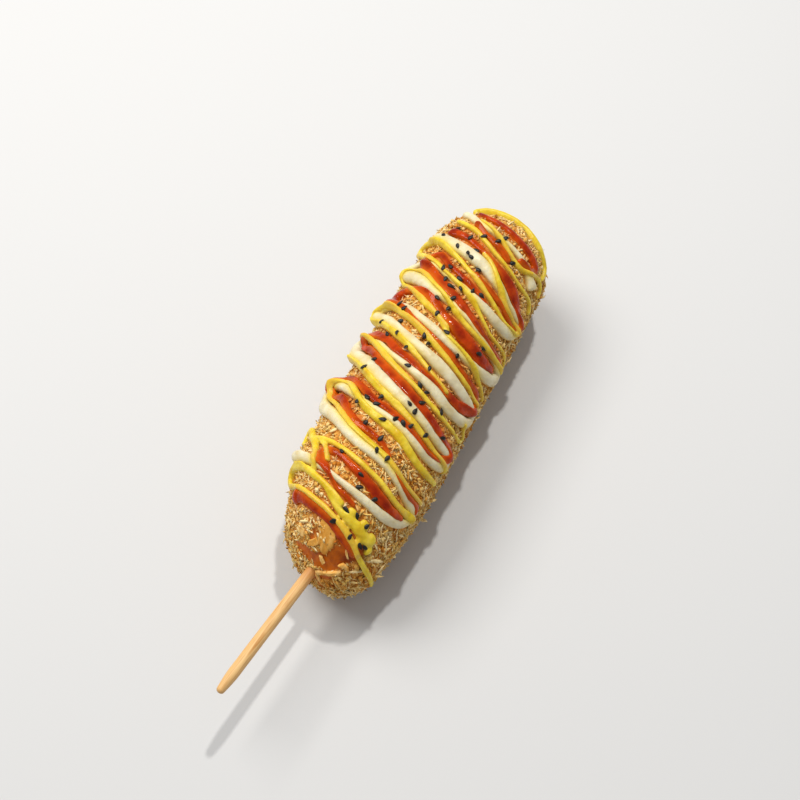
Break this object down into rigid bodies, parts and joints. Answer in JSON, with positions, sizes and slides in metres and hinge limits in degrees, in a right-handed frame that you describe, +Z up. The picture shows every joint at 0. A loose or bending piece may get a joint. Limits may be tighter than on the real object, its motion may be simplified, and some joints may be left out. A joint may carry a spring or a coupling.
{
  "type": "corn dog",
  "caption": "Crumb-coated corn dog on a round wooden stick, lying on its side, with zigzag beads of mayonnaise, ketchup and mustard over the top",
  "frame": {"origin": "middle of the underside of the whole, on the surface it lies on", "axes": "+X along the body away from the stick, +Z up with the sauced side up, +Y across"},
  "size_m": [0.2111, 0.0586, 0.0545],
  "materials": {
    "fried_crumb": "rough fried crumb",
    "bamboo": "bare, smooth",
    "mayonnaise": "satin, creamy",
    "ketchup": "wet gloss",
    "mustard": "satin, creamy",
    "black_sesame": "dull seed coat"
  },
  "bodies": {
    "root": {"fried_body": "fried_crumb", "stick": "bamboo", "mayonnaise": "mayonnaise", "ketchup": "ketchup", "mustard": "mustard"}
  },
  "joints": []
}
